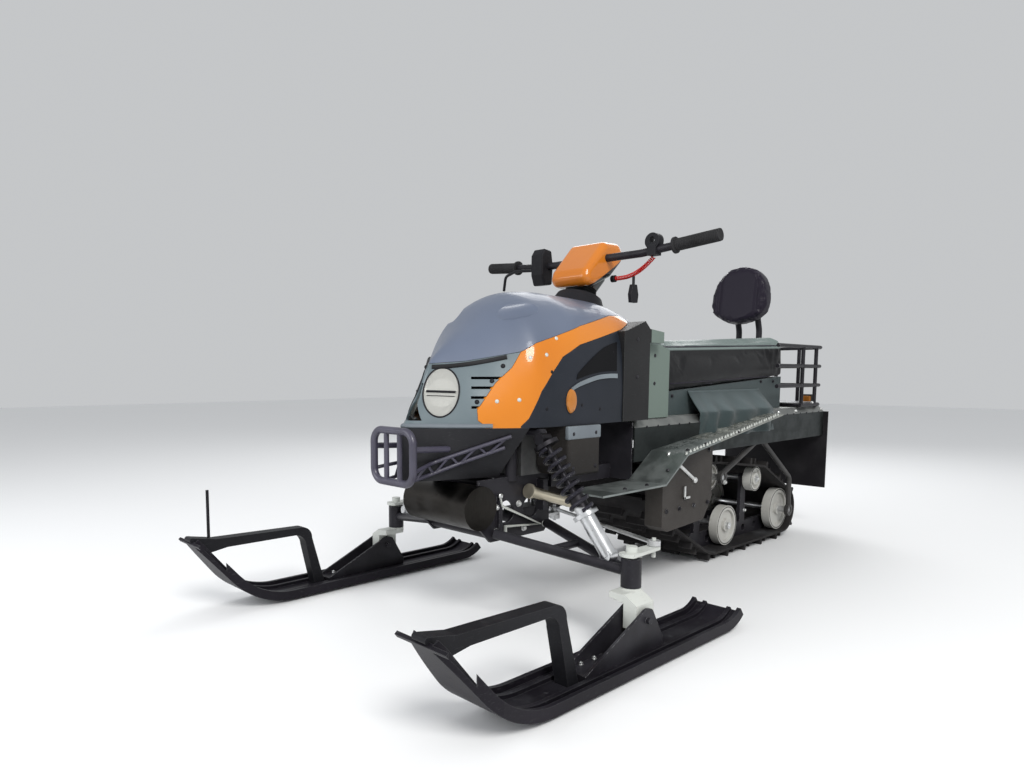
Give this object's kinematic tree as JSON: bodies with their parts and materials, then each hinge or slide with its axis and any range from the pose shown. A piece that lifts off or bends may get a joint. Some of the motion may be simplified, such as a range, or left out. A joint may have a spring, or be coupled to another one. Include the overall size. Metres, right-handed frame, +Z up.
{
  "type": "utility snowmobile",
  "caption": "Compact utility snowmobile with ski steering, an orange-sided hood, a padded seat with a backrest, a cargo rack and one rubber track.",
  "frame": {"origin": "on the ground, on the centreline, half way between the ski tips and the rear end", "axes": "+X forwards, +Y to the rider's left, +Z up"},
  "size_m": [2.3692, 1.06, 1.0409],
  "materials": {
    "ski_plastic": "moulded ski plastic",
    "black_plastic": "black moulded plastic",
    "black_metal": "black powder coat",
    "silver_metal": "plated steel",
    "spring_black": "coated spring steel",
    "grip_rubber": "ribbed rubber",
    "orange_gloss": "glossy orange plastic",
    "track_rubber": "moulded rubber",
    "wheel_white": "pale moulded plastic",
    "aluminium": "bare sheet",
    "brown_plastic": "dark plastic",
    "engine_metal": "cast block",
    "hood_grey": "blue-grey plastic",
    "lamp_glass": "clear lens",
    "panel_grey": "grey-green plastic",
    "seat_vinyl": "seat vinyl",
    "flap_rubber": "rubber sheet",
    "cord_red": "coiled red plastic cord",
    "lamp_red": "red lens"
  },
  "bodies": {
    "root": {"suspension_arms": "black_metal", "shock_dampers": "silver_metal", "shock_springs": "spring_black", "track_belt": "track_rubber", "skid_axles": "silver_metal", "slide_rails": "black_metal", "idler_wheels": "wheel_white", "drive_sprockets": "black_plastic", "skid_struts": "silver_metal", "tunnel": "aluminium", "footboards": "silver_metal", "side_guards": "brown_plastic", "front_frame": "black_metal", "engine_block": "engine_metal", "silencer": "black_metal", "belly_pan": "black_plastic", "front_bumper": "black_metal", "hood": "hood_grey", "fascia": "hood_grey", "headlamps": "lamp_glass", "side_panels": "orange_gloss", "lower_panels": "panel_grey", "side_covers": "black_plastic", "dash": "black_plastic", "console": "panel_grey", "seat_cushion": "seat_vinyl", "seat_base": "panel_grey", "backrest_pad": "seat_vinyl", "backrest_posts": "black_metal", "cargo_rack": "black_metal", "snow_flap": "flap_rubber", "tail_lamps": "lamp_red", "rack_floor": "aluminium", "tow_hitch": "black_metal"},
    "handlebar": {"handlebar_tube": "black_metal", "grips": "grip_rubber", "handlebar_pod": "orange_gloss", "steering_column_shaft": "black_metal", "bar_controls": "black_plastic", "tether_cord": "cord_red", "tether_fob": "black_plastic"},
    "pitman": {"pitman_arm": "silver_metal"},
    "tie_rod_left": {"tie_rod_left": "silver_metal"},
    "tie_rod_right": {"tie_rod_right": "silver_metal"},
    "spindle_left": {"spindle_left": "silver_metal"},
    "spindle_right": {"spindle_right": "silver_metal"},
    "ski_left": {"ski_left": "ski_plastic", "ski_handle_left": "black_plastic", "ski_saddle_left": "black_metal"},
    "ski_right": {"ski_right": "ski_plastic", "ski_handle_right": "black_plastic", "ski_saddle_right": "black_metal", "ski_marker": "black_plastic"}
  },
  "joints": [
    {"name": "handlebar_turn", "type": "hinge", "parent": "root", "child": "handlebar", "pos_m": [0.375, 0, 0.3], "axis": [-0.3256, 0, 0.9455], "range_deg": [-34, 34]},
    {"name": "pitman_turn", "type": "hinge", "parent": "root", "child": "pitman", "pos_m": [0.375, 0, 0.25], "axis": [0, 0, 1], "range_deg": [-34, 34]},
    {"name": "tie_rod_left_swing", "type": "hinge", "parent": "pitman", "child": "tie_rod_left", "pos_m": [0.285, 0, 0.237], "axis": [0, 0, 1], "range_deg": [-34, 34]},
    {"name": "tie_rod_right_swing", "type": "hinge", "parent": "pitman", "child": "tie_rod_right", "pos_m": [0.285, 0, 0.215], "axis": [0, 0, 1], "range_deg": [-34, 34]},
    {"name": "spindle_left_turn", "type": "hinge", "parent": "root", "child": "spindle_left", "pos_m": [0.535, 0.43, 0.185], "axis": [0, 0, 1], "range_deg": [-34, 34]},
    {"name": "spindle_right_turn", "type": "hinge", "parent": "root", "child": "spindle_right", "pos_m": [0.535, -0.43, 0.185], "axis": [0, 0, 1], "range_deg": [-34, 34]},
    {"name": "ski_left_pitch", "type": "hinge", "parent": "spindle_left", "child": "ski_left", "pos_m": [0.565, 0.465, 0.096], "axis": [0, 1, 0], "range_deg": [-25, 15]},
    {"name": "ski_right_pitch", "type": "hinge", "parent": "spindle_right", "child": "ski_right", "pos_m": [0.565, -0.465, 0.096], "axis": [0, 1, 0], "range_deg": [-25, 15]}
  ],
  "couplings": [
    {"joint": "pitman_turn", "follows": "handlebar_turn", "ratio": 1},
    {"joint": "tie_rod_left_swing", "follows": "handlebar_turn", "ratio": -1},
    {"joint": "tie_rod_right_swing", "follows": "handlebar_turn", "ratio": -1},
    {"joint": "spindle_left_turn", "follows": "handlebar_turn", "ratio": 1},
    {"joint": "spindle_right_turn", "follows": "handlebar_turn", "ratio": 1}
  ]
}
